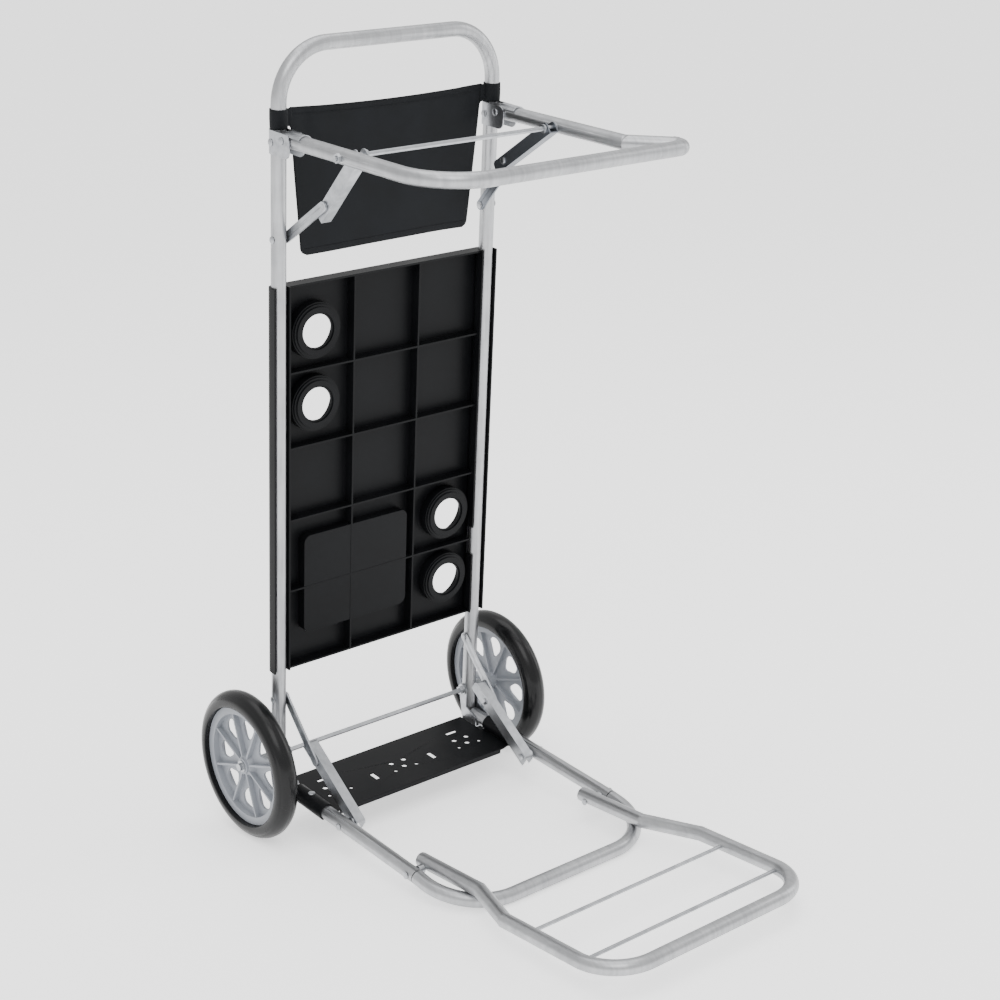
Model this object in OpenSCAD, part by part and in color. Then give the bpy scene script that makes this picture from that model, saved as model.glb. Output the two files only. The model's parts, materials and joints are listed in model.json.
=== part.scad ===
// Folding two-wheel hand cart with a drop-down hoop, table panel, toe frame and flip-out extension.
// Millimetres. Cart coordinates: x across, a forward along the toe, h up along the leaning uprights.

/* [Frame] */
// tube outside diameter
tube_d = 19; // [16:1:25]
// tube wall
tube_wall = 1.5; // [1:0.1:3]
// distance between the upright centres
frame_w = 328; // [270:1:400]
// handle bar centre above the axle
handle_h = 939; // [760:1:1150]
// handle corner radius
handle_bend = 68; // [40:1:90]
// upright foot below the toe tube centre
foot_under = 5.9; // [2:0.1:8]
// forward lean of the uprights
lean = 7.1; // [4:0.1:10]

/* [Wheels] */
// wheel outside diameter
wheel_d = 203.2; // [160:0.2:260]
// tyre width
tyre_w = 32; // [24:1:40]
// rim radius under the tyre
rim_r = 81.8; // [64:0.2:100]
// wheel centre from the upright centre
wheel_out = 48.2; // [44:0.1:60]
// axle diameter
axle_d = 6.35; // [6:0.01:10]
// number of fins and holes in the wheel
fins = 8; // [6:1:10]

/* [Toe frame] */
// toe tube centre above the floor, under the axle
toe_floor = 64.5; // [61:0.1:68]
// crossbar centre in front of the axle
toe_a = 395.4; // [330:0.1:480]
// crossbar corner radius
toe_bend = 78; // [50:1:100]
// front edge of the base plate
plate_a = 105; // [85:1:125]

/* [Extension] */
// distance between the inner arms
ext_w = 273; // [250:1:285]
// front bar centre in front of the axle, on the level
ext_a = 653; // [540:1:780]
// front corner radius
ext_bend = 59; // [35:1:80]
// start of the outward joggle
jog_a = 385; // [340:1:400]
// length of the joggle
jog_len = 80; // [60:1:100]

/* [Hoop] */
// hoop bar centre from the upright centre
hoop_a = 310.7; // [250:0.1:380]
// hoop pivot height above the axle
hoop_h = 833.5; // [800:0.5:850]
// hoop corner radius
hoop_bend = 73; // [40:1:90]
// how far the right front corner flares outwards
hoop_ear = 43; // [30:1:55]
// rise of the hoop arms
hoop_rise = 1.2; // [0:0.1:4]
// cross rod distance from the uprights
rod_a = 135; // [110:1:160]

/* [Table panel] */
// lower edge above the axle
panel_h0 = 125; // [115:1:160]
// upper edge above the axle
panel_h1 = 648; // [560:1:670]
// moulded wall thickness
panel_t = 2.5; // [2:0.1:4]
// inside radius of a cup well
cup_r = 33; // [28:0.5:36]
// radius of the hole in a cup well
cup_hole_r = 22; // [18:0.5:27]

/* [Parts] */
// part to draw

/* [Hidden] */
$fn = 48;

// common radii and clearances
tr = tube_d / 2;
half_w = frame_w / 2;
wheel_r = wheel_d / 2;
axle_r = axle_d / 2;
toe_h = wheel_r - toe_floor;
foot_drop = toe_h + foot_under;
fit = 0.08;          // radial clearance of a turning fit
seat = 0.3;          // gap between neighbouring pieces
plug_fit = 0.05;     // radial clearance of a plug in its tube
rivet_r = 3;
head_r = 4.6;
head_t = 1.6;
strap_t = 1.6;       // sheet metal thickness of channels and brackets
eps = 0.5;           // overrun of a cutter

// placing on the floor
ext_front = ext_a + tr;
y_shift = (ext_front - wheel_r) / 2;
bar_h = (tr - wheel_r + toe_a * sin(lean)) / cos(lean);
piv_z = tr + tube_d + seat;
ext_lift = 3.8;       // arms above their pivot, clear of the rising bow corners
ext_z = piv_z + ext_lift;
piv_a = (wheel_r - piv_z - toe_h * cos(lean)) / sin(lean);
piv_y = -piv_a * cos(lean) + toe_h * sin(lean);
drop_a = piv_a + 12;
drop_len = norm([toe_a - drop_a, bar_h + toe_h]);
drop_tilt = atan2(-(bar_h + toe_h), toe_a - drop_a);

// stays: side planes and pivots as [a, h]
in_x = half_w - tr - seat;          // inner side plane next to the tubes
link_t = 2.9;
chan_out = in_x - link_t - seat;
chan_w = 13.8;
s_top = [0, 83.3];
s_toe = [149.2, -toe_h];
toe_knee = [67.6, 14.4];
h_rod = hoop_h + (rod_a - 22) * tan(hoop_rise);
a_rod = [rod_a, h_rod];
b_low = [0, 708];
knee_left = [75.6, 763.3];
knee_right = [59.4, 780.5];
hoop_piv = [22, hoop_h];

// panel levels along a
panel_back = -(tr + 2.8);
rib_front = 5;
ring_back = 3;
ring_front = 5.6;
ribs_h = [236, 335, 433.5, 534];
cups = [[-109.5, 583.6], [-109.5, 487.3], [109.5, 284.5], [109.5, 187.8]];

// cart coordinates to the floor frame
module cart() {
    translate([0, y_shift, wheel_r]) rotate([lean, 0, 0]) children();
}

// flat outline in (a, h), thickened from x down to x - t
module side(x, t) {
    translate([x, 0, 0]) rotate([90, 0, -90]) linear_extrude(t) children();
}

// left or right copy
module lr(s) {
    if (s > 0) children();
    if (s < 0) mirror([1, 0, 0]) children();
}

// cylinder along x at (a, h)
module pin_x(x0, x1, p, r) {
    translate([x0, -p[0], p[1]]) rotate([0, 90, 0]) cylinder(r = r, h = x1 - x0);
}

// domed round head along x, its dome towards +x
module head_x(x, p, r, t) {
    translate([x, -p[0], p[1]]) rotate([0, 90, 0]) {
        cylinder(r = r, h = t * 0.5);
        translate([0, 0, t * 0.5]) cylinder(r1 = r, r2 = r * 0.62, h = t * 0.5);
    }
}

function unit(v) = v / norm(v);
function turn(p, i) = let (u = unit(p[i] - p[i - 1]), v = unit(p[i + 1] - p[i]))
    atan2(u[0] * v[1] - u[1] * v[0], u[0] * v[0] + u[1] * v[1]);
function kink(p, rr, i, r) = rr[i] > 0 ? 0 : r * tan(abs(turn(p, i)) / 2) + 0.15;
function cut(p, rr, i) = (i == 0 || i == len(p) - 1) ? 0 : rr[i] * tan(abs(turn(p, i)) / 2);

// round rod bent in its plane: points p, bend radii rr (0 for a slight kink), rod radius r, ends longer by e
module bent(p, rr, r, e) {
    for (i = [0:len(p) - 2]) {
        u = unit(p[i + 1] - p[i]);
        e0 = i == 0 ? e : kink(p, rr, i, r);
        e1 = i == len(p) - 2 ? e : kink(p, rr, i + 1, r);
        s = p[i] + u * (cut(p, rr, i) - e0);
        n = norm(p[i + 1] - p[i]) - cut(p, rr, i) - cut(p, rr, i + 1) + e0 + e1;
        translate([s[0], s[1], 0]) rotate([0, 0, atan2(u[1], u[0])]) rotate([0, 90, 0])
            cylinder(r = r, h = n);
    }
    for (i = [1:len(p) - 2]) if (rr[i] > 0) {
        u = unit(p[i] - p[i - 1]);
        t = turn(p, i);
        k = t > 0 ? 1 : -1;
        c = p[i] - u * cut(p, rr, i) + k * rr[i] * [-u[1], u[0]];
        s = atan2(-k * u[0], k * u[1]);
        translate([c[0], c[1], 0]) rotate([0, 0, t > 0 ? s : s + t])
            rotate_extrude(angle = abs(t)) translate([rr[i], 0]) circle(r);
    }
}

module bent_tube(p, rr) {
    difference() {
        bent(p, rr, tr, 0);
        bent(p, rr, tr - tube_wall, 1);
    }
}

// plug closing a tube end, along +z from its outer end
module plug() {
    cylinder(r = tr - tube_wall - plug_fit, h = 8);
    translate([0, 0, -2]) cylinder(r1 = tr - 1.6, r2 = tr - 0.2, h = 1.2);
    translate([0, 0, -0.8]) cylinder(r = tr - 0.2, h = 0.8);
}

// ---------- uprights and handle ----------
module handle_frame() {
    color("silver") cart() difference() {
        rotate([90, 0, 0])
            bent_tube([[-half_w, -foot_drop], [-half_w, handle_h], [half_w, handle_h], [half_w, -foot_drop]],
                [0, handle_bend, handle_bend, 0]);
        pin_x(-half_w - tube_d, half_w + tube_d, [0, 0], axle_r + fit);
        pin_x(-half_w - tube_d, half_w + tube_d, s_top, rivet_r + fit);
        pin_x(-half_w - tube_d, half_w + tube_d, b_low, rivet_r + fit);
        pin_x(-half_w - tube_d, half_w + tube_d, [0, hoop_h - 6], rivet_r + fit);
    }
}

module foot_plugs() {
    color("dimgray") cart() for (s = [-1, 1])
        translate([s * half_w, 0, -foot_drop]) cylinder(r = tr - tube_wall - plug_fit, h = 12);
}

// U-shaped bracket round the upright, holding the hoop arm
module hoop_bracket() {
    out = tr + seat + strap_t;
    h0 = hoop_h - 20;
    hh = 29;
    color("silver") cart() difference() {
        translate([half_w, 0, h0]) linear_extrude(hh) union() {
            circle(out);
            translate([-out, -38]) square([2 * out, 38]);
        }
        translate([half_w, 0, h0 - eps]) linear_extrude(hh + 2 * eps) union() {
            circle(tr + seat);
            translate([-tr - seat, -40]) square([2 * (tr + seat), 40]);
        }
        for (k = [0, 1]) translate([half_w - out - eps, -38, k == 0 ? h0 + 9 : h0 + hh - 9])
            rotate([0, 90, 0]) difference() {
                translate([k == 0 ? 0 : -10, -1, 0]) cube([10, 10, 2 * out + 1]);
                translate([0, 9, -1]) cylinder(r = 9, h = 2 * out + 4);
            }
        pin_x(half_w - out - 1, half_w + out + 1, hoop_piv, rivet_r + fit);
        pin_x(half_w - out - 1, half_w + out + 1, [0, hoop_h - 6], rivet_r + fit);
    }
}

module hoop_bracket_right() { lr(1) hoop_bracket(); }
module hoop_bracket_left() { lr(-1) hoop_bracket(); }

// rivets that stay on the uprights
module frame_rivets() {
    out = half_w + tr + strap_t + 2 * seat;
    color("gainsboro") cart() for (s = [-1, 1]) lr(s) {
        for (p = [s_top, b_low]) {
            pin_x(in_x - link_t - seat - 0.2, half_w + tr + 0.2, p, rivet_r);
            head_x(half_w + tr + 0.1, p, head_r, head_t);
            mirror([1, 0, 0]) head_x(-(in_x - link_t - seat), p, head_r, head_t);
        }
        pin_x(half_w - (out - half_w) + 0.2, out - 0.2, [0, hoop_h - 6], rivet_r);
        head_x(out - seat + 0.1, [0, hoop_h - 6], head_r, head_t);
        mirror([1, 0, 0]) head_x(-(2 * half_w - out + seat - 0.1), [0, hoop_h - 6], head_r, head_t);
        pin_x(half_w - (out - half_w) + 0.2, out - 0.2, hoop_piv, rivet_r);
        head_x(out - seat + 0.1, hoop_piv, head_r, head_t);
        mirror([1, 0, 0]) head_x(-(2 * half_w - out + seat - 0.1), hoop_piv, head_r, head_t);
    }
}

// ---------- bag flap ----------
module bag_flap() {
    strap_h = hoop_h + 10;
    strap_w = 23.5;
    neck = half_w - tr - 1.6;
    color([0.1, 0.11, 0.12]) cart() {
        translate([0, 1, 0]) rotate([90, 0, 0]) linear_extrude(2) {
            polygon([[-neck, strap_h], [-neck, strap_h + strap_w], [-147, hoop_h + 33], [0, hoop_h + 29.5],
                [147, hoop_h + 33], [neck, strap_h + strap_w], [neck, strap_h], [147, strap_h - 8],
                [131, hoop_h - 141], [121, hoop_h - 151], [-121, hoop_h - 151], [-131, hoop_h - 141],
                [-147, strap_h - 8]]);
        }
        for (s = [-1, 1]) translate([s * half_w, 0, strap_h]) linear_extrude(strap_w) difference() {
            circle(tr + 2);
            circle(tr + 0.4);
        }
    }
}

// ---------- table panel ----------
module cup_outline(r, k) {
    for (c = cups) translate([c[0], c[1]]) circle(r + k);
}

module tray_outline(k) {
    x0 = -127 - k;
    h0 = 170 - k;
    w = 167 + 2 * k;
    hh = 138 + 2 * k;
    r = 10 + k;
    translate([x0 + r, h0]) square([w - 2 * r, hh]);
    translate([x0, h0 + r]) square([w, hh - 2 * r]);
    for (i = [0, 1], j = [0, 1]) translate([x0 + r + i * (w - 2 * r), h0 + r + j * (hh - 2 * r)]) circle(r);
}

// outline in (x, h), thickened from a0 to a1
module face(a0, a1) {
    translate([0, -a0, 0]) rotate([90, 0, 0]) linear_extrude(a1 - a0) children();
}

module table_panel() {
    out = tr + 2.8;
    inn = tr + 0.5;
    ph = panel_h1 - panel_h0;
    skin = panel_back + panel_t;
    color([0.07, 0.07, 0.08]) cart() difference() {
        union() {
            // flat skin
            face(panel_back, skin) translate([-half_w + 4, panel_h0]) square([frame_w - 8, ph]);
            // upper and lower rims
            for (h = [panel_h0, panel_h1 - panel_t]) face(panel_back, rib_front)
                translate([-half_w + inn, h]) square([frame_w - 2 * inn, panel_t]);
            // ribs
            for (x = [-51.5, 51.5]) face(panel_back, rib_front)
                translate([x - 1.2, panel_h0]) square([2.4, ph]);
            for (h = ribs_h) face(panel_back, rib_front)
                translate([-half_w + inn, h - 1.2]) square([frame_w - 2 * inn, 2.4]);
            // cup wells with a raised ring
            face(panel_back, ring_front - 2) cup_outline(cup_r, panel_t + 1.2);
            face(ring_back, ring_front) cup_outline(cup_r, panel_t - 1);
            face(ring_front - 0.1, ring_front + 1.8) difference() {
                cup_outline(cup_r, -1.8);
                cup_outline(cup_hole_r, 2.4);
            }
            // tray
            face(panel_back, rib_front - 0.4) tray_outline(0);
            // half-pipe edges over the uprights
            for (s = [-1, 1]) translate([s * half_w, 0, panel_h0]) linear_extrude(ph) difference() {
                union() {
                    circle(out);
                    translate([-out, -9]) square([2 * out, 9]);
                }
                circle(inn);
                translate([-inn, -out - 1]) square([2 * inn, out + 1]);
                translate([-out - 1, -out - 1]) square([2 * out + 2, out + 1 - 9]);
            }
        }
        // hollow of the cup wells and their holes
        face(panel_back - eps, ring_back) cup_outline(cup_r, 0);
        face(panel_back - eps, ring_front + 4) cup_outline(cup_hole_r, 0);
        // hollow of the tray
        face(panel_back - eps, rib_front - 0.4 - panel_t) tray_outline(-panel_t);
        // notch in the right inner wall
        translate([half_w - out - 1, -10, 212]) cube([out - inn + 2.2, 12, 42]);
    }
}

// ---------- axle and wheels ----------
axle_end = half_w + wheel_out + 15.4;
hub_in = half_w + wheel_out - tyre_w / 2 - 0.2;
hub_out = half_w + wheel_out + 10.3;

module axle_rod() {
    color("silver") cart() pin_x(-axle_end, axle_end, [0, 0], axle_r);
}

module axle_spacers() {
    color("dimgray") cart() for (s = [-1, 1]) lr(s) difference() {
        pin_x(half_w + tr + strap_t + 2 * seat, hub_in - seat, [0, 0], 6.5);
        pin_x(half_w, hub_in + 1, [0, 0], axle_r + plug_fit);
    }
}

module axle_nuts() {
    color("gainsboro") cart() for (s = [-1, 1]) lr(s) difference() {
        union() {
            pin_x(in_x - strap_t - seat - 1.2, in_x - strap_t - seat, [0, 0], 8);
            translate([in_x - strap_t - seat - 6.4, 0, 0]) rotate([0, 90, 0]) cylinder(r = 6.2, h = 5.2, $fn = 6);
        }
        pin_x(in_x - 20, in_x + 1, [0, 0], axle_r + plug_fit);
    }
}

module axle_caps() {
    color("gainsboro") cart() for (s = [-1, 1]) lr(s) difference() {
        union() {
            pin_x(hub_out + seat, hub_out + seat + 1, [0, 0], 8);
            pin_x(hub_out + seat + 1, hub_out + seat + 5.6, [0, 0], 5);
        }
        pin_x(hub_out, axle_end + 0.2, [0, 0], axle_r + plug_fit);
    }
}

// rim about z, centre plane at z = 0, outer face up
module rim() {
    deep = 9;
    // egg-shaped holes: outer and inner end circles and the slope of their shared tangents
    hole_c1 = rim_r * 0.648;
    hole_r1 = rim_r * 0.153;
    hole_c0 = rim_r * 0.495;
    hole_r0 = rim_r * 0.055;
    sa = (hole_r1 - hole_r0) / (hole_c1 - hole_c0);
    ca = sqrt(1 - sa * sa);
    difference() {
        union() {
            // outer ring
            rotate_extrude() translate([rim_r - 11, -deep]) square([10.8, 2 * deep]);
            // web
            translate([0, 0, -3]) cylinder(r = rim_r - 10, h = 3.2);
            // hub
            translate([0, 0, -tyre_w / 2 - 0.2]) cylinder(r = 11, h = tyre_w / 2 + 10.5);
            translate([0, 0, -3]) cylinder(r1 = 19, r2 = 12.5, h = 10);
            // fins
            for (i = [0:fins - 1]) rotate([0, 0, (i + 0.5) * 360 / fins])
                translate([9, -1.5, -deep + 1]) cube([rim_r - 19, 3, 2 * deep - 2.5]);
        }
        // holes between the fins
        for (i = [0:fins - 1]) rotate([0, 0, i * 360 / fins]) translate([0, 0, -4]) linear_extrude(12) {
            translate([hole_c1, 0]) circle(hole_r1);
            translate([hole_c0, 0]) circle(hole_r0);
            polygon([[hole_c0 - hole_r0 * sa, -hole_r0 * ca], [hole_c1 - hole_r1 * sa, -hole_r1 * ca],
                [hole_c1 - hole_r1 * sa, hole_r1 * ca], [hole_c0 - hole_r0 * sa, hole_r0 * ca]]);
        }
        translate([0, 0, -tyre_w]) cylinder(r = axle_r + fit, h = 2 * tyre_w);
    }
}

module tyre() {
    rotate_extrude() difference() {
        translate([wheel_r - tyre_w / 2, 0]) circle(tyre_w / 2);
        translate([0, -tyre_w]) square([rim_r, 2 * tyre_w]);
    }
}

module on_axle(s) {
    cart() lr(s) translate([half_w + wheel_out, 0, 0]) rotate([0, 90, 0]) children();
}

module rim_left() { color([0.6, 0.62, 0.65]) on_axle(-1) rim(); }
module rim_right() { color([0.6, 0.62, 0.65]) on_axle(1) rim(); }
module tyre_left() { color([0.1, 0.1, 0.1]) on_axle(-1) tyre(); }
module tyre_right() { color([0.1, 0.1, 0.1]) on_axle(1) tyre(); }

// ---------- toe frame ----------
toe_start = 12;

module toe_frame() {
    n = drop_a - toe_start - tr * sin(abs(drop_tilt)) - seat;
    color("silver") cart() difference() {
        for (s = [-1, 1]) translate([s * half_w, -toe_start, -toe_h]) rotate([90, 0, 0]) difference() {
            cylinder(r = tr, h = n);
            translate([0, 0, -1]) cylinder(r = tr - tube_wall, h = n + 2);
        }
        pin_x(-half_w - tube_d, half_w + tube_d, s_toe, rivet_r + fit);
        pin_x(-half_w - tube_d, half_w + tube_d, [piv_a, -toe_h], rivet_r + fit);
        pin_x(-half_w - tube_d, half_w + tube_d, [22, -toe_h], rivet_r + fit);
        for (s = [-1, 1]) translate([s * half_w, -76, -toe_h]) cylinder(r = rivet_r + fit, h = 20);
    }
}

// front bow of the toe tube, dropping to the floor
module toe_crossbar() {
    color("silver") cart() translate([0, -drop_a, -toe_h]) rotate([drop_tilt, 0, 0])
        bent_tube([[-half_w, 0], [-half_w, -drop_len], [half_w, -drop_len], [half_w, 0]],
            [0, toe_bend, toe_bend, 0]);
}

module toe_plugs() {
    color("dimgray") cart() for (s = [-1, 1])
        translate([s * half_w, -toe_start, -toe_h]) rotate([90, 0, 0])
            cylinder(r = tr - tube_wall - plug_fit, h = 6);
}

// hinge bracket cheeks beside the upright foot and the toe tube
module toe_brackets() {
    color("silver") cart() for (s = [-1, 1]) lr(s) difference() {
        union() {
            for (x = [in_x, half_w + tr + seat + strap_t]) side(x, strap_t) union() {
                circle(8.5);
                polygon([[-8.5, 0], [8.5, 0], [8.5, -toe_h + tr + 3], [31, -toe_h + 4], [31, -toe_h - tr - 0.3],
                    [2, -toe_h - tr - 0.3]]);
            }
            translate([in_x - strap_t, -30, -toe_h - tr - 0.3 - strap_t])
                cube([2 * (tr + seat + strap_t), 17, strap_t + 0.01]);
        }
        pin_x(half_w - 20, half_w + 20, [0, 0], axle_r + fit);
        pin_x(half_w - 20, half_w + 20, [22, -toe_h], rivet_r + fit);
    }
}

// rivets and spacers that stay on the toe tubes
module toe_rivets() {
    color("gainsboro") cart() for (s = [-1, 1]) lr(s) {
        // bracket rivet
        pin_x(in_x - strap_t - 0.2, half_w + tr + seat + strap_t + 0.2, [22, -toe_h], rivet_r);
        head_x(half_w + tr + seat + strap_t + 0.1, [22, -toe_h], head_r, head_t);
        // lower stay rivet with its washer
        pin_x(chan_out - chan_w - seat - 0.2, half_w + tr + 0.2, s_toe, rivet_r);
        head_x(half_w + tr + 0.1, s_toe, head_r, head_t);
        pin_x(chan_out + seat, in_x, s_toe, 6);
        mirror([1, 0, 0]) head_x(-(chan_out - chan_w - seat), s_toe, head_r, head_t);
    }
}

plate_t = 2;
saddle_r = tr + 2.1;   // outside of the saddles over the toe tubes

module base_plate() {
    low = -toe_h - tr;
    w = in_x - strap_t - 2 * seat;
    sleeve0 = 46;
    color([0.07, 0.07, 0.08]) cart() difference() {
        union() {
            translate([0, 0, low]) linear_extrude(plate_t)
                polygon([[-w, 2], [w, 2], [w, -sleeve0], [half_w, -sleeve0], [half_w, -plate_a + 6],
                    [half_w - tr - 12, -plate_a], [-half_w + tr + 12, -plate_a], [-half_w, -plate_a + 6],
                    [-half_w, -sleeve0], [-w, -sleeve0]]);
            // front and rear stiffening lips
            for (y = [-plate_a, 0]) translate([-w + 14, y, low - 5]) cube([2 * w - 28, 2, 5.5]);
            // saddles over the toe tubes
            for (s = [-1, 1]) translate([s * half_w, -sleeve0, -toe_h]) rotate([90, 0, 0])
                cylinder(r = saddle_r, h = plate_a + 6 - sleeve0);
        }
        for (s = [-1, 1]) translate([s * half_w, 20, -toe_h]) rotate([90, 0, 0]) {
            cylinder(r = tr + seat, h = plate_a + 40);
        }
        for (s = [-1, 1]) {
            // saddle rivet holes
            translate([s * half_w, -76, -toe_h]) cylinder(r = rivet_r + fit, h = 20);
            // open underside of the saddles
            translate([s * half_w - tr - 5, -plate_a - 20, low - 12]) cube([tube_d + 10, plate_a, 12]);
            // slots across and along
            translate([s * 111 - 9, -30, low - 6]) cube([18, 6, 20]);
            translate([s * 49 - 3.5, -70, low - 6]) cube([7, 17, 20]);
        }
        // hole clusters
        for (x = [-111, 0, 111]) {
            for (q = [[-10.6, 47.5], [10.7, 47.5], [1, 62]])
                translate([x + q[0], -q[1], low - 6]) cylinder(r = 3.6, h = 20);
            for (q = [[-17.2, 67], [17.9, 67.5]])
                translate([x + q[0], -q[1], low - 6]) cylinder(r = 2.6, h = 20);
        }
    }
}

module plate_rivets() {
    top = saddle_r - toe_h;
    color("gainsboro") cart() for (s = [-1, 1]) translate([s * half_w, -76, top + 0.05]) {
        cylinder(r = head_r, h = 0.9);
        translate([0, 0, 0.9]) cylinder(r1 = head_r, r2 = head_r * 0.6, h = 0.9);
        translate([0, 0, -6]) cylinder(r = rivet_r, h = 6.2);
    }
}

module extension_pivots() {
    in = ext_w / 2 - tr;
    color("gainsboro") cart() for (s = [-1, 1]) lr(s) {
        p = [piv_a, -toe_h];
        pin_x(in - seat - 0.2, half_w + tr + 0.2, p, rivet_r);
        head_x(half_w + tr + 0.1, p, head_r + 0.6, head_t);
        pin_x(ext_w / 2 + tr + seat, in_x, p, 6);
        mirror([1, 0, 0]) head_x(-(in - seat), p, head_r, head_t);
    }
}

// ---------- extension ----------
ext_rear = piv_y + 14;
rod1_y = -508;
rod2_y = -600;

module level() {
    translate([0, y_shift, ext_z]) children();
}

module rod_hole(x0, x1, y, z, r) {
    translate([x0, y, z]) rotate([0, 90, 0]) cylinder(r = r, h = x1 - x0);
}

module extension_frame() {
    e = ext_w / 2;
    j = jog_a + jog_len;
    color("silver") level() difference() {
        bent_tube([[-e, ext_rear], [-e, -jog_a], [-half_w, -j], [-half_w, -ext_a], [half_w, -ext_a],
            [half_w, -j], [e, -jog_a], [e, ext_rear]], [0, 0, 0, ext_bend, ext_bend, 0, 0, 0]);
        rod_hole(-half_w - tube_d, half_w + tube_d, piv_y, -ext_lift, rivet_r + fit);
        for (y = [rod1_y, rod2_y]) rod_hole(-half_w, half_w, y, 0, 2.5 + plug_fit);
    }
}

module extension_rods() {
    color("gainsboro") level() for (y = [rod1_y, rod2_y]) rod_hole(-half_w, half_w, y, 0, 2.5);
}

module extension_plugs() {
    color("dimgray") level() for (s = [-1, 1])
        translate([s * ext_w / 2, ext_rear, 0]) rotate([90, 0, 0]) plug();
}

// ---------- stays ----------
// flat bar outline from p to q with round ends
module bar2(p, q, w) {
    n = norm(q - p);
    translate(p) rotate(atan2(q[1] - p[1], q[0] - p[0])) {
        translate([0, -w / 2]) square([n, w]);
        circle(w / 2);
        translate([n, 0]) circle(w / 2);
    }
}

// flat link from its frame pivot p to the knee q
module link(p, q, w) {
    difference() {
        side(in_x, link_t) bar2(p, q, w);
        pin_x(in_x - link_t - 1, in_x + 1, p, rivet_r + fit);
        pin_x(in_x - link_t - 1, in_x + 1, q, rivet_r + fit);
    }
}

// knee rivet end, flush with the link's outer side
module link_heads(q) {
    pin_x(in_x - link_t + 0.1, in_x, q, rivet_r);
}

// channel from its pivot p past the knee q, from -open to +back, longer by e0 and e1, its web up or down
module channel(p, q, open, back, e0, e1, r, web_up) {
    n = norm(q - p);
    w = open + back;
    x = chan_out;
    difference() {
        side(x, chan_w) translate(p) rotate(atan2(q[1] - p[1], q[0] - p[0])) {
            translate([-e0, -open + r]) square([n + e0 + e1, w - r]);
            translate([-e0 + r, -open]) square([n + e0 + e1 - 2 * r, w]);
            translate([-e0 + r, -open + r]) circle(r);
            translate([n + e1 - r, -open + r]) circle(r);
        }
        side(x - strap_t, chan_w - 2 * strap_t) translate(p) rotate(atan2(q[1] - p[1], q[0] - p[0]))
            translate([-e0 - 1, (web_up ? strap_t : -1) - open]) square([n + e0 + e1 + 2, w + 1 - strap_t]);
        pin_x(x - chan_w - 1, x + 1, p, rivet_r + fit);
        pin_x(x - chan_w - 1, x + 1, q, rivet_r + fit);
    }
}

module knee_rivet(q) {
    pin_x(chan_out - chan_w - 0.2, chan_out - 0.1, q, rivet_r);
    mirror([1, 0, 0]) head_x(-(chan_out - chan_w - 0.1), q, head_r, head_t);
}

module toe_link(s) { color("silver") cart() lr(s) link(s_top, toe_knee, 12); }
module toe_channel(s) { color("silver") cart() lr(s) channel(s_toe, toe_knee, 8, 9, 9, 30, 6, true); }

module toe_link_left() { toe_link(-1); }
module toe_link_right() { toe_link(1); }
module toe_link_heads_left() { color("gainsboro") cart() lr(-1) link_heads(toe_knee); }
module toe_link_heads_right() { color("gainsboro") cart() lr(1) link_heads(toe_knee); }
module toe_channel_left() { toe_channel(-1); }
module toe_channel_right() { toe_channel(1); }
module toe_knee_rivet_left() { color("gainsboro") cart() lr(-1) knee_rivet(toe_knee); }
module toe_knee_rivet_right() { color("gainsboro") cart() lr(1) knee_rivet(toe_knee); }

module hoop_link_left() { color("silver") cart() lr(-1) link(b_low, knee_left, 13); }
module hoop_link_right() { color("slategray") cart() lr(1) link(b_low, knee_right, 13); }
module hoop_link_heads_left() { color("gainsboro") cart() lr(-1) link_heads(knee_left); }
module hoop_link_heads_right() { color("gainsboro") cart() lr(1) link_heads(knee_right); }
module hoop_channel_left() { color("silver") cart() lr(-1) channel(a_rod, knee_left, 6.5, 9.5, 6.5, 20, 5, false); }
module hoop_channel_right() { color("slategray") cart() lr(1) channel(a_rod, knee_right, 6.5, 9.5, 6.5, 20, 5, false); }
module hoop_knee_rivet_left() { color("gainsboro") cart() lr(-1) knee_rivet(knee_left); }
module hoop_knee_rivet_right() { color("gainsboro") cart() lr(1) knee_rivet(knee_right); }

// ---------- hoop ----------
hoop_start = 14.5;
hoop_len = (hoop_a - 22) / cos(hoop_rise);
ear_bend = tr + 2.5;   // tight bend at the tip of the flared corner
ear_tip = ear_bend + 5;

// hoop plane: origin at the pivot, -y forward along the rising arms
module on_hoop() {
    cart() translate([0, -hoop_piv[0], hoop_h]) rotate([-hoop_rise, 0, 0]) children();
}

module hoop_frame() {
    color("silver") difference() {
        on_hoop() bent_tube([[-half_w, hoop_piv[0] - hoop_start], [-half_w, -hoop_len], [half_w + hoop_ear, -hoop_len],
            [half_w + hoop_ear, ear_tip - hoop_len], [half_w, ear_tip + hoop_ear - hoop_len],
            [half_w, hoop_piv[0] - hoop_start]], [0, hoop_bend, ear_bend, 0, 0, 0]);
        cart() pin_x(-half_w - tube_d, half_w + tube_d, hoop_piv, rivet_r + fit);
        cart() pin_x(-half_w - tube_d, half_w + tube_d, a_rod, rivet_r + fit);
    }
}

module hoop_plugs() {
    color("dimgray") on_hoop() for (s = [-1, 1])
        translate([s * half_w, hoop_piv[0] - hoop_start, 0]) rotate([90, 0, 0])
            cylinder(r = tr - tube_wall - plug_fit, h = 3);
}

// small saddle clip on top of each arm
module hoop_saddles() {
    color("silver") on_hoop() for (s = [-1, 1]) translate([s * half_w, -3, 0]) rotate([90, 0, 0])
        linear_extrude(30) difference() {
            circle(tr + seat + strap_t);
            circle(tr + seat);
            translate([-20, -20]) square([40, 26]);
        }
}

module hoop_cross_rod() {
    color("silver") cart() pin_x(-half_w - tr - 7, half_w + tr + 7, a_rod, rivet_r);
}

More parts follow.
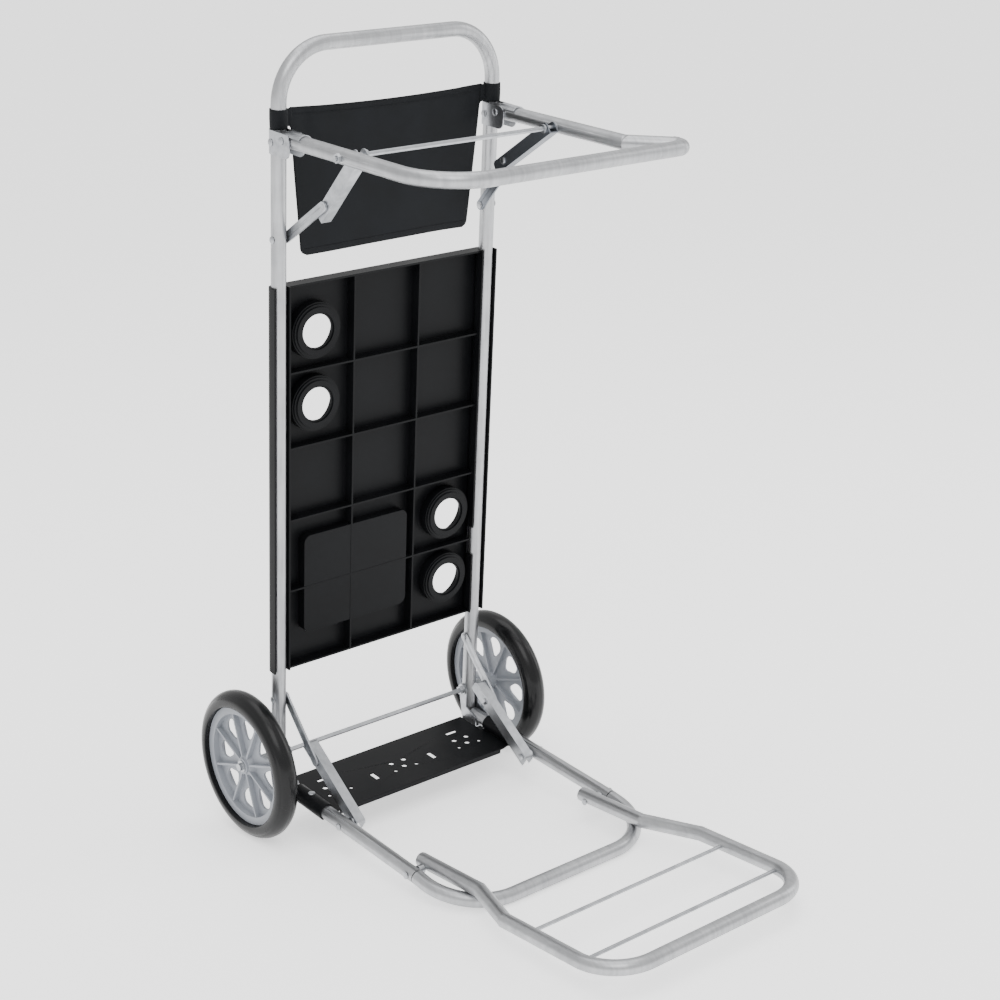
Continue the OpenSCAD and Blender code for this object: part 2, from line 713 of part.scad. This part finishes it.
module hoop_rod_nuts() {
    color("gainsboro") cart() for (s = [-1, 1]) lr(s) {
        difference() {
            translate([half_w + tr + 0.1, -a_rod[0], a_rod[1]]) rotate([0, 90, 0])
                cylinder(r = 6, h = 4.5, $fn = 6);
            pin_x(half_w, half_w + tr + 8, a_rod, rivet_r + plug_fit);
        }
        difference() {
            pin_x(chan_out + seat, in_x, a_rod, 6);
            pin_x(chan_out - 1, in_x + 1, a_rod, rivet_r + plug_fit);
        }
        difference() {
            pin_x(chan_out - chan_w - seat - 3, chan_out - chan_w - seat, a_rod, 5.5);
            pin_x(chan_out - chan_w - 9, chan_out, a_rod, rivet_r + plug_fit);
        }
    }
}

handle_frame();
foot_plugs();
hoop_bracket_left();
hoop_bracket_right();
frame_rivets();
bag_flap();
table_panel();
axle_rod();
axle_spacers();
axle_nuts();
axle_caps();
rim_left();
tyre_left();
rim_right();
tyre_right();
toe_frame();
toe_crossbar();
toe_plugs();
toe_brackets();
toe_rivets();
base_plate();
plate_rivets();
extension_pivots();
extension_frame();
extension_rods();
extension_plugs();
toe_link_left();
toe_link_right();
toe_link_heads_left();
toe_link_heads_right();
toe_channel_left();
toe_channel_right();
toe_knee_rivet_left();
toe_knee_rivet_right();
hoop_frame();
hoop_plugs();
hoop_saddles();
hoop_cross_rod();
hoop_rod_nuts();
hoop_link_left();
hoop_link_right();
hoop_link_heads_left();
hoop_link_heads_right();
hoop_channel_left();
hoop_channel_right();
hoop_knee_rivet_left();
hoop_knee_rivet_right();
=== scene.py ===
import math
import bpy
import bmesh
from mathutils import Matrix, Vector, noise
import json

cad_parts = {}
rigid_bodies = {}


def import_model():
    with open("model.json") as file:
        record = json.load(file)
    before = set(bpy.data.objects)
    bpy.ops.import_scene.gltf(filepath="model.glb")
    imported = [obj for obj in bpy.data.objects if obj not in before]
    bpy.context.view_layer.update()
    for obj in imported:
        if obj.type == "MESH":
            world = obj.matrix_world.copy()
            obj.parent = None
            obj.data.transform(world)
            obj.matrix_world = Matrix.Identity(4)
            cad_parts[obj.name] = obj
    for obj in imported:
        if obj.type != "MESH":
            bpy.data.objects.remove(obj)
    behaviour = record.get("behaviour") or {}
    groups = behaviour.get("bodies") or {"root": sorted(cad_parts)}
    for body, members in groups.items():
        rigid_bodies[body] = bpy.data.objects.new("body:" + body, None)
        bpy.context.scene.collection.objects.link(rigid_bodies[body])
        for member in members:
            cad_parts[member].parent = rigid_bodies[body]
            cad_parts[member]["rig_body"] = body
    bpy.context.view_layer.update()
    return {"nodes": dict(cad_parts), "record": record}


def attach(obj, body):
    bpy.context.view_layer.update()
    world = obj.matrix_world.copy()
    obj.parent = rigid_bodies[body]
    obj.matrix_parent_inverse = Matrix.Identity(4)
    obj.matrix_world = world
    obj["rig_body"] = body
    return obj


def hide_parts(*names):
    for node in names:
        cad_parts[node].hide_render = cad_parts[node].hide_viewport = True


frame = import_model()

# sizes shared with the CAD part, metres
LEAN = math.radians(7.1)
WHEEL_R = 0.1016
RIM_R = 0.0818
TYRE_R = 0.016
WHEEL_X = 0.2122
Y_SHIFT = 0.28045
# cart millimetres
HALF_W = 164.0
STRAP_LOW, STRAP_H = 843.2, 23.2
CLOTH_T = 0.0011


# cart millimetres (x across, a forward, h up the uprights) to the row frame in metres
def cart(x, a, h):
    a, h = a / 1000, h / 1000
    return Vector((x / 1000,
                   Y_SHIFT - a * math.cos(LEAN) - h * math.sin(LEAN),
                   WHEEL_R - a * math.sin(LEAN) + h * math.cos(LEAN)))


# ---------- materials ----------
def new_material(name, color, rough, metal=0.0, coat=0.0, sheen=0.0, spec=0.5):
    m = bpy.data.materials.new(name)
    m.use_nodes = True
    b = m.node_tree.nodes["Principled BSDF"]
    b.inputs["Base Color"].default_value = (*color, 1)
    b.inputs["Roughness"].default_value = rough
    b.inputs["Metallic"].default_value = metal
    b.inputs["Coat Weight"].default_value = coat
    b.inputs["Sheen Weight"].default_value = sheen
    b.inputs["Specular IOR Level"].default_value = spec
    return m, m.node_tree.nodes, m.node_tree.links, b


def mapped(nodes, links, scale):
    tc = nodes.new("ShaderNodeTexCoord")
    mp = nodes.new("ShaderNodeMapping")
    mp.inputs["Scale"].default_value = scale
    links.new(tc.outputs["Object"], mp.inputs["Vector"])
    return mp.outputs["Vector"]


def noise_tex(nodes, links, vec, scale, detail):
    n = nodes.new("ShaderNodeTexNoise")
    n.inputs["Scale"].default_value = scale
    n.inputs["Detail"].default_value = detail
    n.inputs["Roughness"].default_value = 0.55
    links.new(vec, n.inputs["Vector"])
    return n.outputs["Fac"]


# noise between 0.3 and 0.7 spread over lo to hi
def ranged(nodes, links, fac, lo, hi):
    r = nodes.new("ShaderNodeMapRange")
    r.inputs["From Min"].default_value = 0.3
    r.inputs["From Max"].default_value = 0.7
    r.inputs["To Min"].default_value = lo
    r.inputs["To Max"].default_value = hi
    links.new(fac, r.inputs["Value"])
    return r.outputs["Result"]


def tint(nodes, links, fac, c0, c1, out):
    m = nodes.new("ShaderNodeMix")
    m.data_type = "RGBA"
    m.inputs["A"].default_value = (*c0, 1)
    m.inputs["B"].default_value = (*c1, 1)
    links.new(fac, m.inputs["Factor"])
    links.new(m.outputs["Result"], out)


def bump(nodes, links, fac, strength, dist, b, before=None):
    n = nodes.new("ShaderNodeBump")
    n.inputs["Strength"].default_value = strength
    n.inputs["Distance"].default_value = dist
    links.new(fac, n.inputs["Height"])
    if before is not None:
        links.new(before.outputs["Normal"], n.inputs["Normal"])
    links.new(n.outputs["Normal"], b.inputs["Normal"])
    return n


def metal_material(name, dark, light, rough, streak):
    m, nodes, links, b = new_material(name, light, rough, 1.0)
    long = noise_tex(nodes, links, mapped(nodes, links, streak), 1.0, 3.0)
    cloud = noise_tex(nodes, links, mapped(nodes, links, (1, 1, 1)), 22.0, 5.0)
    fine = noise_tex(nodes, links, mapped(nodes, links, (1, 1, 1)), 420.0, 3.0)
    mix = nodes.new("ShaderNodeMath")
    mix.operation = "ADD"
    half = nodes.new("ShaderNodeMath")
    half.operation = "MULTIPLY"
    half.inputs[1].default_value = 0.5
    links.new(long, mix.inputs[0])
    links.new(cloud, mix.inputs[1])
    links.new(mix.outputs[0], half.inputs[0])
    tint(nodes, links, ranged(nodes, links, half.outputs[0], 0, 1), dark, light, b.inputs["Base Color"])
    links.new(ranged(nodes, links, half.outputs[0], rough + 0.07, rough - 0.05), b.inputs["Roughness"])
    k = bump(nodes, links, long, 0.10, 0.0004, b)
    bump(nodes, links, fine, 0.10, 0.0002, b, k)
    return m


TUBE = metal_material("tube", (0.30, 0.305, 0.315), (0.47, 0.475, 0.485), 0.38, (260, 60, 12))
ZINC = metal_material("zinc", (0.30, 0.31, 0.325), (0.50, 0.51, 0.53), 0.33, (120, 120, 120))
DARK_ZINC = metal_material("dark_zinc", (0.14, 0.15, 0.17), (0.25, 0.265, 0.29), 0.40, (120, 40, 40))


def plastic_material(name, dark, light, rough, grain=900.0, grain_k=0.12, coat=0.0, spec=0.5):
    m, nodes, links, b = new_material(name, light, rough, 0.0, coat, 0.0, spec)
    cloud = noise_tex(nodes, links, mapped(nodes, links, (1, 1, 1)), 14.0, 6.0)
    fine = noise_tex(nodes, links, mapped(nodes, links, (1, 1, 1)), grain, 2.0)
    flow = noise_tex(nodes, links, mapped(nodes, links, (8, 8, 60)), 1.0, 2.0)
    tint(nodes, links, ranged(nodes, links, cloud, 0, 1), dark, light, b.inputs["Base Color"])
    links.new(ranged(nodes, links, cloud, rough - 0.05, rough + 0.07), b.inputs["Roughness"])
    k = bump(nodes, links, flow, 0.05, 0.0006, b)
    bump(nodes, links, fine, grain_k, 0.0002, b, k)
    return m


BLACK = plastic_material("black_plastic", (0.0030, 0.0032, 0.0038), (0.0052, 0.0056, 0.0064), 0.40,
                         1100.0, 0.14, 0.0, 0.10)
RIM = plastic_material("wheel_plastic", (0.235, 0.250, 0.275), (0.290, 0.305, 0.335), 0.40,
                       700.0, 0.07, 0.0, 0.35)
PLUG = plastic_material("plug_plastic", (0.20, 0.21, 0.22), (0.27, 0.28, 0.29), 0.5)
TYRE = plastic_material("tyre", (0.0028, 0.0029, 0.0032), (0.0046, 0.0048, 0.0053), 0.26,
                        500.0, 0.05, 0.04, 0.24)


def fabric_material():
    m, nodes, links, b = new_material("fabric", (0.007, 0.008, 0.009), 0.72, 0.0, 0.0, 0.02, 0.10)
    b.inputs["Sheen Roughness"].default_value = 0.45
    waves = []
    for axis in ("X", "Z"):
        w = nodes.new("ShaderNodeTexWave")
        w.bands_direction = axis
        w.inputs["Scale"].default_value = 260.0
        w.inputs["Distortion"].default_value = 0.6
        links.new(mapped(nodes, links, (1, 1, 1)), w.inputs["Vector"])
        waves.append(w.outputs["Fac"])
    mul = nodes.new("ShaderNodeMath")
    mul.operation = "MAXIMUM"
    links.new(waves[0], mul.inputs[0])
    links.new(waves[1], mul.inputs[1])
    cloud = noise_tex(nodes, links, mapped(nodes, links, (1, 1, 1)), 18.0, 5.0)
    fold = noise_tex(nodes, links, mapped(nodes, links, (9, 9, 5)), 1.0, 3.0)
    tint(nodes, links, ranged(nodes, links, cloud, 0, 1), (0.0050, 0.0057, 0.0066), (0.0095, 0.0105, 0.0122),
         b.inputs["Base Color"])
    links.new(ranged(nodes, links, cloud, 0.62, 0.80), b.inputs["Roughness"])
    k = bump(nodes, links, fold, 0.35, 0.004, b)
    bump(nodes, links, mul.outputs[0], 0.22, 0.0003, b, k)
    return m


FABRIC = fabric_material()
BY_SLOT = {"tube": TUBE, "zinc": ZINC, "dark_zinc": DARK_ZINC, "black_plastic": BLACK, "wheel_plastic": RIM,
           "tyre": TYRE, "fabric": FABRIC, "plug_plastic": PLUG}


# ---------- pieces ----------
def body_name(node):
    return frame["nodes"][node]["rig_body"]


def place(obj, material, body, nodes=()):
    obj.data.materials.clear()
    obj.data.materials.append(material)
    if obj.name not in bpy.context.scene.collection.objects:
        bpy.context.scene.collection.objects.link(obj)
    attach(obj, body)
    if nodes:
        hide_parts(*nodes)
    return obj


# welded, smooth-shaded copy of a CAD node with softened edges
def skin(node, slot, bevel, sharp=32):
    src = frame["nodes"][node]
    bm = bmesh.new()
    bm.from_mesh(src.data)
    bmesh.ops.remove_doubles(bm, verts=bm.verts, dist=0.000004)
    for e in bm.edges:
        e.smooth = not (len(e.link_faces) == 2 and e.calc_face_angle(0) > math.radians(sharp))
    for f in bm.faces:
        f.smooth = True
    me = bpy.data.meshes.new(node + "_skin")
    bm.to_mesh(me)
    bm.free()
    obj = bpy.data.objects.new(node + "_skin", me)
    mod = obj.modifiers.new("edge", "BEVEL")
    mod.width = bevel
    mod.segments = 2
    mod.limit_method = "ANGLE"
    mod.angle_limit = math.radians(sharp + 3)
    mod.use_clamp_overlap = True
    place(obj, BY_SLOT[slot], body_name(node), (node,))


def mesh_object(name, verts, faces):
    me = bpy.data.meshes.new(name)
    me.from_pydata([tuple(v) for v in verts], [], faces)
    me.validate()
    for p in me.polygons:
        p.use_smooth = True
    return bpy.data.objects.new(name, me)


def thicken(obj, t):
    mod = obj.modifiers.new("thick", "SOLIDIFY")
    mod.thickness = t
    mod.offset = 0


# ring turned about the wheel axis from (radius, across) points
def lathe(name, centre, profile):
    steps = 144
    verts, faces = [], []
    n = len(profile)
    for i in range(steps):
        t = 2 * math.pi * i / steps
        for r, w in profile:
            verts.append(centre + Vector((w, r * math.cos(t), r * math.sin(t))))
    for i in range(steps):
        for j in range(n):
            a, b = i * n + j, i * n + (j + 1) % n
            c, d = ((i + 1) % steps) * n + (j + 1) % n, ((i + 1) % steps) * n + j
            faces.append((a, b, c, d))
    return mesh_object(name, verts, faces)


SLOT_OF = {s["node"]: s["material_slot"] for s in frame["record"]["subparts"]}
OWN = {"bag_flap", "tyre_left", "tyre_right"}
FINE = {"table_panel": 0.0007, "base_plate": 0.0005, "rim_left": 0.0007, "rim_right": 0.0007}
for name in frame["nodes"]:
    if name not in OWN:
        skin(name, SLOT_OF[name], FINE.get(name, 0.00025))


# ---------- tyres ----------
def tyre(side):
    mid = WHEEL_R - TYRE_R
    pts = []
    a0 = math.asin((RIM_R - mid) / TYRE_R)
    n = 40
    for i in range(n + 1):
        t = a0 + (math.pi - 2 * a0) * i / n
        r, w = mid + TYRE_R * math.sin(t), TYRE_R * math.cos(t)
        # mould line in the middle and a fine groove on each side
        k = 0.0
        if abs(w) < 0.0009:
            k = -0.0003
        if abs(abs(w) - 0.0128) < 0.0007:
            k = -0.00035
        pts.append((r + k * math.sin(t), w + k * math.cos(t)))
    for w in (-1, 1):
        pts.append((RIM_R + 0.0001, w * TYRE_R * math.cos(a0) * 0.98))
    name = "left" if side < 0 else "right"
    obj = lathe("tyre_" + name + "_rubber", Vector((side * WHEEL_X, Y_SHIFT, WHEEL_R)), pts)
    place(obj, TYRE, "wheel_" + name, ("tyre_" + name,))


tyre(-1)
tyre(1)


# ---------- bag flap ----------
def flap_half_width(h):
    if h > 843:
        return 147.0
    if h > 692:
        return 131.0 + (h - 692) / (843 - 692) * 14.5
    k = max(0.0, (h - 682) / 10)
    return 121.0 + 10.0 * math.sqrt(max(0.0, 1 - (1 - k) ** 2))


def flap_top(u):
    return 866.5 - 4.0 * (1 - abs(u) ** 2.2)


def flap_bottom(u):
    return 682.3 + 1.2 * math.sin(2.5 * u + 0.6)


def flap_a(u, v):
    belly = 2.4 * math.sin(math.pi * v) * math.cos(math.pi * u / 2)
    tuck = -1.6 * math.exp(-((abs(u) - 0.86) ** 2) / 0.006) * math.exp(-((v - 0.9) ** 2) / 0.02)
    wave = 0.9 * noise.noise(Vector((u * 2.1, v * 1.7, 0.3)))
    return -1.0 + belly + tuck + wave + 1.4 * math.sin(u * 3.1 + 0.8) * (1 - v)


def build_flap():
    nu, nv = 96, 64
    verts, faces = [], []
    for j in range(nv + 1):
        v = j / nv
        for i in range(nu + 1):
            u = 2 * i / nu - 1
            h = flap_bottom(u) + v * (flap_top(u) - flap_bottom(u))
            verts.append(cart(u * flap_half_width(h), flap_a(u, v), h))
    for j in range(nv):
        for i in range(nu):
            a = j * (nu + 1) + i
            faces.append((a, a + 1, a + nu + 2, a + nu + 1))
    obj = mesh_object("bag_flap_cloth", verts, faces)
    thicken(obj, CLOTH_T)
    place(obj, FABRIC, "frame", ("bag_flap",))
    return obj


# seam bead along a line of (x, a, h) points
def bead(name, pts):
    cu = bpy.data.curves.new(name, "CURVE")
    cu.dimensions = "3D"
    cu.bevel_depth = 0.0003
    cu.bevel_resolution = 3
    sp = cu.splines.new("POLY")
    sp.points.add(len(pts) - 1)
    for q, p in zip(sp.points, pts):
        q.co = (*cart(*p), 1)
    obj = bpy.data.objects.new(name, cu)
    return place(obj, FABRIC, "frame")


# strap loop round an upright with its neck towards the cloth
def strap(side):
    end = "left" if side < 0 else "right"
    verts, faces = [], []
    n, m = 72, 10
    for j in range(m + 1):
        t = j / m
        h = STRAP_LOW + STRAP_H * t
        for i in range(n):
            a = 2 * math.pi * i / n
            r = 10.35 + 0.22 * math.sin(3 * a + 2 * t) + 0.25 * math.sin(math.pi * t)
            dx, da = r * math.cos(a), r * math.sin(a)
            verts.append(cart(side * (HALF_W - dx), da, h))
    for j in range(m):
        for i in range(n):
            a, b = j * n + i, j * n + (i + 1) % n
            faces.append((a, b, b + n, a + n))
    obj = mesh_object("flap_strap_" + end, verts, faces)
    thicken(obj, CLOTH_T)
    place(obj, FABRIC, "frame")
    verts, faces = [], []
    nx, nh = 10, 12
    for j in range(nh + 1):
        t = j / nh
        for i in range(nx + 1):
            k = i / nx
            x = 145.5 + 9.4 * k
            pinch = 1 - 0.10 * math.sin(math.pi * k)
            h = 855 + (t - 0.5) * STRAP_H * pinch
            verts.append(cart(side * x, 0.6 * math.sin(6 * t) * (1 - k), h))
    for j in range(nh):
        for i in range(nx):
            a = j * (nx + 1) + i
            faces.append((a, a + 1, a + nx + 2, a + nx + 1))
    neck = mesh_object("flap_neck_" + end, verts, faces)
    thicken(neck, 0.0018)
    place(neck, FABRIC, "frame")
    return [obj, neck]


cloth = build_flap()
extra = strap(-1) + strap(1)


def flap_line(v, inset):
    pts = []
    for i in range(61):
        u = (2 * i / 60 - 1) * (1 - inset)
        h = flap_bottom(u) + v * (flap_top(u) - flap_bottom(u))
        pts.append((u * flap_half_width(h), flap_a(u, v) + 0.75, h))
    return pts


extra.append(bead("flap_hem_top", flap_line(0.955, 0.03)))
extra.append(bead("flap_hem_bottom", flap_line(0.045, 0.04)))


# ---------- stage, lights and camera ----------
def stage_floor():
    me = bpy.data.meshes.new("floor")
    s = 30
    me.from_pydata([(-s, -s, 0), (s, -s, 0), (s, s, 0), (-s, s, 0)], [], [(0, 1, 2, 3)])
    obj = bpy.data.objects.new("floor", me)
    bpy.context.scene.collection.objects.link(obj)
    m, nodes, links, b = new_material("floor", (0.97, 0.97, 0.97), 1.0, 0, 0, 0, 0.0)
    b.inputs["Emission Color"].default_value = (1, 1, 1, 1)
    b.inputs["Emission Strength"].default_value = 0.9
    me.materials.append(m)


stage_floor()


def area_light(name, loc, target, size, power):
    d = bpy.data.lights.new(name, "AREA")
    d.shape = "RECTANGLE"
    d.size, d.size_y = size
    d.energy = power
    o = bpy.data.objects.new(name, d)
    o.location = loc
    o.rotation_euler = (Vector(target) - Vector(loc)).to_track_quat("-Z", "Y").to_euler()
    bpy.context.scene.collection.objects.link(o)


area_light("key", (-1.6, -2.2, 3.4), (0, -0.1, 0.4), (2.4, 2.4), 60)
area_light("side", (3.2, -1.2, 1.8), (0, -0.1, 0.5), (1.4, 2.6), 34)
area_light("top", (0.2, 0.4, 3.8), (0, 0, 0.4), (3.0, 3.0), 55)

world = bpy.data.worlds.new("studio")
bpy.context.scene.world = world
world.use_nodes = True
bg = world.node_tree.nodes["Background"]
bg.inputs["Color"].default_value = (1, 1, 1, 1)
bg.inputs["Strength"].default_value = 1.2

cam_data = bpy.data.cameras.new("camera")
cam_data.sensor_width = 36
cam_data.lens = 75.3
cam_data.clip_end = 200
cam = bpy.data.objects.new("camera", cam_data)
bpy.context.scene.collection.objects.link(cam)
az, el, roll = math.radians(-39.3), math.radians(16.9), math.radians(-2.4)
back = Vector((math.sin(az) * math.cos(el), -math.cos(az) * math.cos(el), math.sin(el)))
right = Vector((math.cos(az), math.sin(az), 0))
up = back.cross(right)
r2 = right * math.cos(roll) + up * math.sin(roll)
u2 = up * math.cos(roll) - right * math.sin(roll)
eye = Vector((0.2362, Y_SHIFT, 0.3656)) + back * 2.9635
cam.matrix_world = Matrix(((r2.x, u2.x, back.x, eye.x), (r2.y, u2.y, back.y, eye.y),
                           (r2.z, u2.z, back.z, eye.z), (0, 0, 0, 1)))
bpy.context.scene.camera = cam
